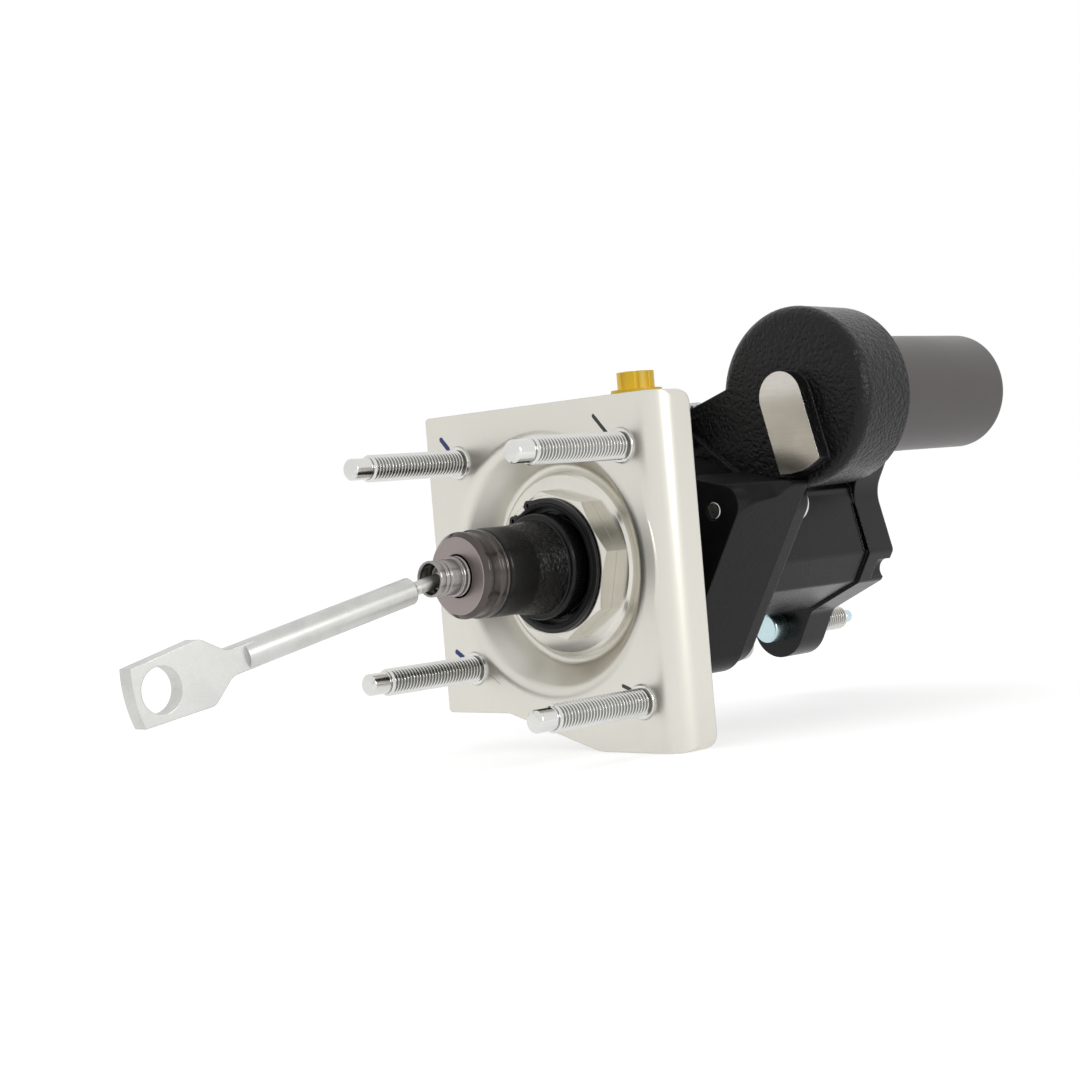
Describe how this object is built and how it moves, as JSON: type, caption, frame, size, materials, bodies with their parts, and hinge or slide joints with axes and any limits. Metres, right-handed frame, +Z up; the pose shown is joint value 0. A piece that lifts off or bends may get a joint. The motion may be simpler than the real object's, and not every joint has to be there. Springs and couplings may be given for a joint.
{
  "type": "hydraulic brake booster",
  "caption": "Hydraulic brake booster with a dished mounting bracket, pedal push rod, cast housing, gas accumulator and a two-lobe master cylinder flange.",
  "frame": {"origin": "where the main axis crosses the front face of the mounting bracket", "axes": "+Y along the main axis from the pedal side to the master cylinder, +Z up, +X towards the accumulator"},
  "size_m": [0.149, 0.3848, 0.156],
  "materials": {
    "satin_steel": "satin",
    "zinc_steel": "bright zinc",
    "machined_steel": "turned",
    "hard_coated": "dark hard coating",
    "black_steel": "black oxide",
    "black_casting": "black painted casting",
    "grey_paint": "satin",
    "bronze": "sintered",
    "boot_rubber": "matt",
    "seal_rubber": "smooth",
    "nylon": "satin",
    "yellow_plastic": "satin"
  },
  "bodies": {
    "housing": {"mounting_bracket": "satin_steel", "bracket_studs": "zinc_steel", "spacer_washer": "satin_steel", "neck_nut": "satin_steel", "rear_cover": "black_casting", "cover_gasket": "seal_rubber", "cover_bolts": "zinc_steel", "rod_seal": "seal_rubber", "rod_bush": "bronze", "boot_retainer": "black_steel", "neck_ring": "black_steel", "boot": "boot_rubber", "return_spring": "machined_steel", "spring_seat": "zinc_steel", "seat_ring": "black_steel", "spool_sleeve": "machined_steel", "spool_spring": "machined_steel", "spool_plug": "zinc_steel", "main_housing": "black_casting", "accumulator": "grey_paint", "accumulator_ring": "black_steel", "cylinder_studs": "zinc_steel", "port_plugs": "yellow_plastic", "return_nipple": "zinc_steel", "return_cap": "yellow_plastic", "passage_plug": "zinc_steel"},
    "power_piston": {"end_cup": "hard_coated", "power_piston": "machined_steel", "piston_seal": "seal_rubber", "lever_pin": "machined_steel", "output_rod": "machined_steel"},
    "input_plunger": {"input_plunger": "machined_steel"},
    "valve_lever": {"valve_lever": "machined_steel"},
    "spool": {"spool": "machined_steel"},
    "rod_grommet": {"rod_grommet": "nylon"},
    "push_rod": {"push_rod": "machined_steel"}
  },
  "joints": [
    {"name": "piston_slide", "type": "slide", "parent": "housing", "child": "power_piston", "axis": [0, 1, 0], "range_m": [0, 0.026], "stiffness_N_per_m": 1500, "springref_m": -0.02, "deforming": ["boot", "return_spring"]},
    {"name": "input_slide", "type": "slide", "parent": "power_piston", "child": "input_plunger", "axis": [0, 1, 0], "range_m": [0, 0.003], "stiffness_N_per_m": 2000, "springref_m": -0.004},
    {"name": "lever_tilt", "type": "hinge", "parent": "power_piston", "child": "valve_lever", "pos_m": [-0.00208, 0.083, 0.00978], "axis": [0.9781, 0, 0.2079], "range_deg": [0, 52.4]},
    {"name": "spool_slide", "type": "slide", "parent": "housing", "child": "spool", "axis": [0, 1, 0], "range_m": [0, 0.003], "deforming": ["spool_spring"]},
    {"name": "rod_yaw", "type": "hinge", "parent": "input_plunger", "child": "rod_grommet", "pos_m": [0, -0.05, 0], "axis": [0, 0, 1], "range_deg": [-8, 8]},
    {"name": "rod_pitch", "type": "hinge", "parent": "rod_grommet", "child": "push_rod", "pos_m": [0, -0.05, 0], "axis": [-1, 0, 0], "range_deg": [0, 22.8]}
  ],
  "couplings": [
    {"joint": "lever_tilt", "follows": "piston_slide", "rad_per_m": 35.1},
    {"joint": "spool_slide", "follows": "input_slide", "ratio": 1}
  ]
}
